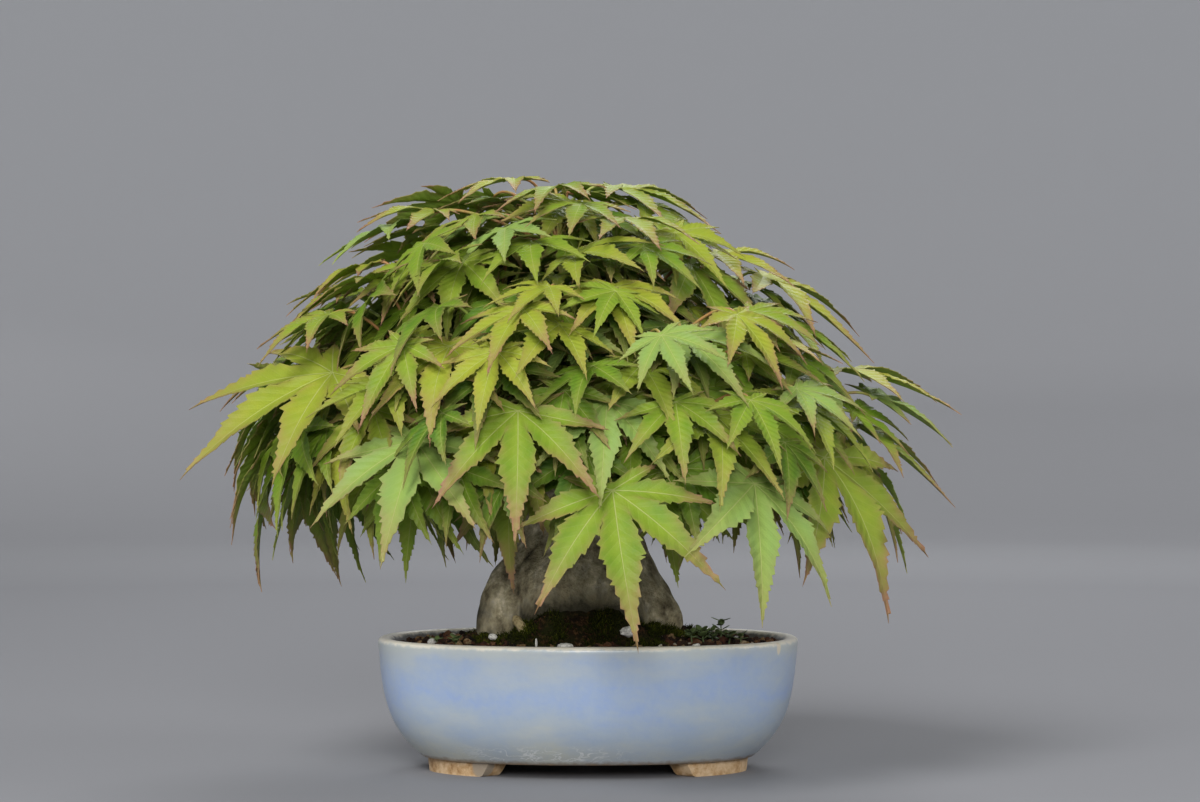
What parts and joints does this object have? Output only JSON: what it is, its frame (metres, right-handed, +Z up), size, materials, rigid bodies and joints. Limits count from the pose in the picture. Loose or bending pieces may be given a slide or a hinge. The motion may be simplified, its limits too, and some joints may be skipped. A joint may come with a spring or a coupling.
{
  "type": "japanese maple bonsai in pot",
  "caption": "Small broom-shaped maple bonsai with a dense dome of seven-lobed leaves over a thick flared trunk, in an oval glazed pot on four feet.",
  "frame": {"origin": "centre of the box round the whole tree, at the plane the pot's feet stand on", "axes": "+Z up, +X to the right seen from the front, the tree's front faces -Y"},
  "size_m": [0.2168, 0.1838, 0.1685],
  "materials": {
    "glazed_stoneware": "glossy light blue glaze, bare clay feet",
    "netting": "matt black plastic netting",
    "soil_mix": "damp granular soil",
    "bark": "grey-brown bark",
    "leaf": "satin yellow-green leaf"
  },
  "bodies": {
    "root": {"drain_mesh_left": "netting", "drain_mesh_right": "netting", "pot": "glazed_stoneware", "soil": "soil_mix", "spray_crown": "leaf", "spray_high_01": "leaf", "spray_high_02": "leaf", "spray_high_03": "leaf", "spray_high_04": "leaf", "spray_low_01": "leaf", "spray_low_02": "leaf", "spray_low_03": "leaf", "spray_low_04": "leaf", "spray_low_05": "leaf", "spray_low_06": "leaf", "spray_low_07": "leaf", "spray_low_08": "leaf", "spray_low_09": "leaf", "spray_low_10": "leaf", "spray_mid_01": "leaf", "spray_mid_02": "leaf", "spray_mid_03": "leaf", "spray_mid_04": "leaf", "spray_mid_05": "leaf", "spray_mid_06": "leaf", "spray_mid_07": "leaf", "spray_mid_08": "leaf", "trunk": "bark"}
  },
  "joints": []
}
